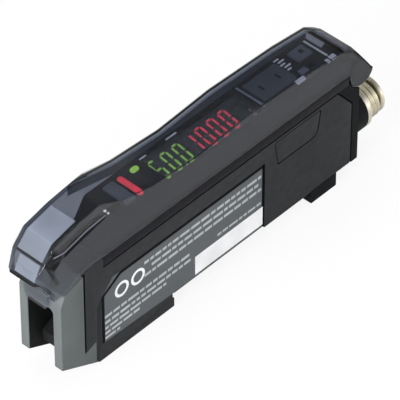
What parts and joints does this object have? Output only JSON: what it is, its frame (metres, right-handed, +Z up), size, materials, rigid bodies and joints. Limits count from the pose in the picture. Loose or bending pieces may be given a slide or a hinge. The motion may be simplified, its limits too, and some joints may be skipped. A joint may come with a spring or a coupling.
{
  "type": "photoelectric sensor amplifier",
  "caption": "Slim rail-mounted amplifier for a laser or photoelectric sensor head: smoked hinged dust cover over a digital display and push buttons, round cable connector at the rear.",
  "frame": {"origin": "centre of the rail seat: middle of the 35 mm rail slot along X, middle of the case across Y, on the slot's roof", "axes": "+X towards the rear, where the cable connector is; +Y towards the side without a label; +Z up, towards the display"},
  "size_m": [0.0885, 0.0098, 0.0354],
  "materials": {
    "case_black": "fine spark-eroded texture",
    "block_grey": "fine spark-eroded texture, dark grey",
    "cap_black": "smooth satin moulding",
    "panel_black": "printed panel, satin",
    "cover_smoke": "clear smoked, polished",
    "window_smoke": "clear dark filter, polished",
    "lamp_red": "lit, diffusing",
    "lamp_green": "lit, diffusing",
    "button_grey": "satin",
    "part_cream": "heat-proof moulding",
    "board_green": "glass-epoxy laminate with solder mask",
    "chip_black": "moulded epoxy",
    "segment_dark": "unlit, diffusing",
    "coil_brown": "ferrite and enamelled wire",
    "socket_grey": "satin",
    "contact_gold": "gold plated",
    "shell_nickel": "nickel plated, turned",
    "seal_rubber": "matt",
    "spring_steel": "drawn wire",
    "label_grey": "printed film, satin"
  },
  "bodies": {
    "case": {"main_case": "case_black", "side_plate": "case_black", "front_block": "block_grey", "rear_cap": "cap_black", "top_panel": "panel_black", "display_window": "window_smoke", "red_light_bar": "lamp_red", "green_lamp": "lamp_green", "switch_base": "part_cream", "tact_switches": "part_cream", "display_board": "board_green", "main_board": "board_green", "display_modules": "chip_black", "green_digits": "lamp_green", "red_digits": "lamp_red", "unlit_segments": "segment_dark", "indicator_leds": "part_cream", "board_header": "chip_black", "control_chip": "chip_black", "chip_parts": "chip_black", "power_coil": "coil_brown", "head_socket": "socket_grey", "head_contacts": "contact_gold", "expansion_socket": "part_cream", "expansion_pins": "contact_gold", "port_cover_near": "case_black", "port_cover_far": "case_black", "connector_shell": "shell_nickel", "connector_insert": "cap_black", "connector_pins": "contact_gold", "connector_seal": "seal_rubber", "claw_spring": "spring_steel", "side_label": "label_grey"},
    "cover": {"dust_cover": "cover_smoke"},
    "set_key": {"set_button": "button_grey"},
    "rocker": {"rocker_button": "button_grey"},
    "mode_key": {"mode_button": "button_grey"},
    "switch": {"switch_knob": "button_grey"},
    "claw": {"din_claw": "cap_black"}
  },
  "joints": [
    {"name": "cover_hinge", "type": "hinge", "parent": "case", "child": "cover", "pos_m": [0.0307, 0, 0.0202], "axis": [0, 1, 0], "range_deg": [0, 85]},
    {"name": "set_press", "type": "slide", "parent": "case", "child": "set_key", "axis": [0, 0, -1], "range_m": [0, 0.0003], "stiffness_N_per_m": 1500},
    {"name": "rocker_tilt", "type": "hinge", "parent": "case", "child": "rocker", "pos_m": [0.0116, 0, 0.0248], "axis": [0, 1, 0], "range_deg": [-4, 4], "stiffness_Nm_per_rad": 0.02},
    {"name": "mode_press", "type": "slide", "parent": "case", "child": "mode_key", "axis": [0, 0, -1], "range_m": [0, 0.0003], "stiffness_N_per_m": 1500},
    {"name": "switch_slide", "type": "slide", "parent": "case", "child": "switch", "axis": [1, 0, 0], "range_m": [0, 0.002]},
    {"name": "claw_slide", "type": "slide", "parent": "case", "child": "claw", "axis": [1, 0, 0], "range_m": [0, 0.0015], "stiffness_N_per_m": 1500, "springref_m": -0.001, "deforming": ["claw_spring"]}
  ]
}
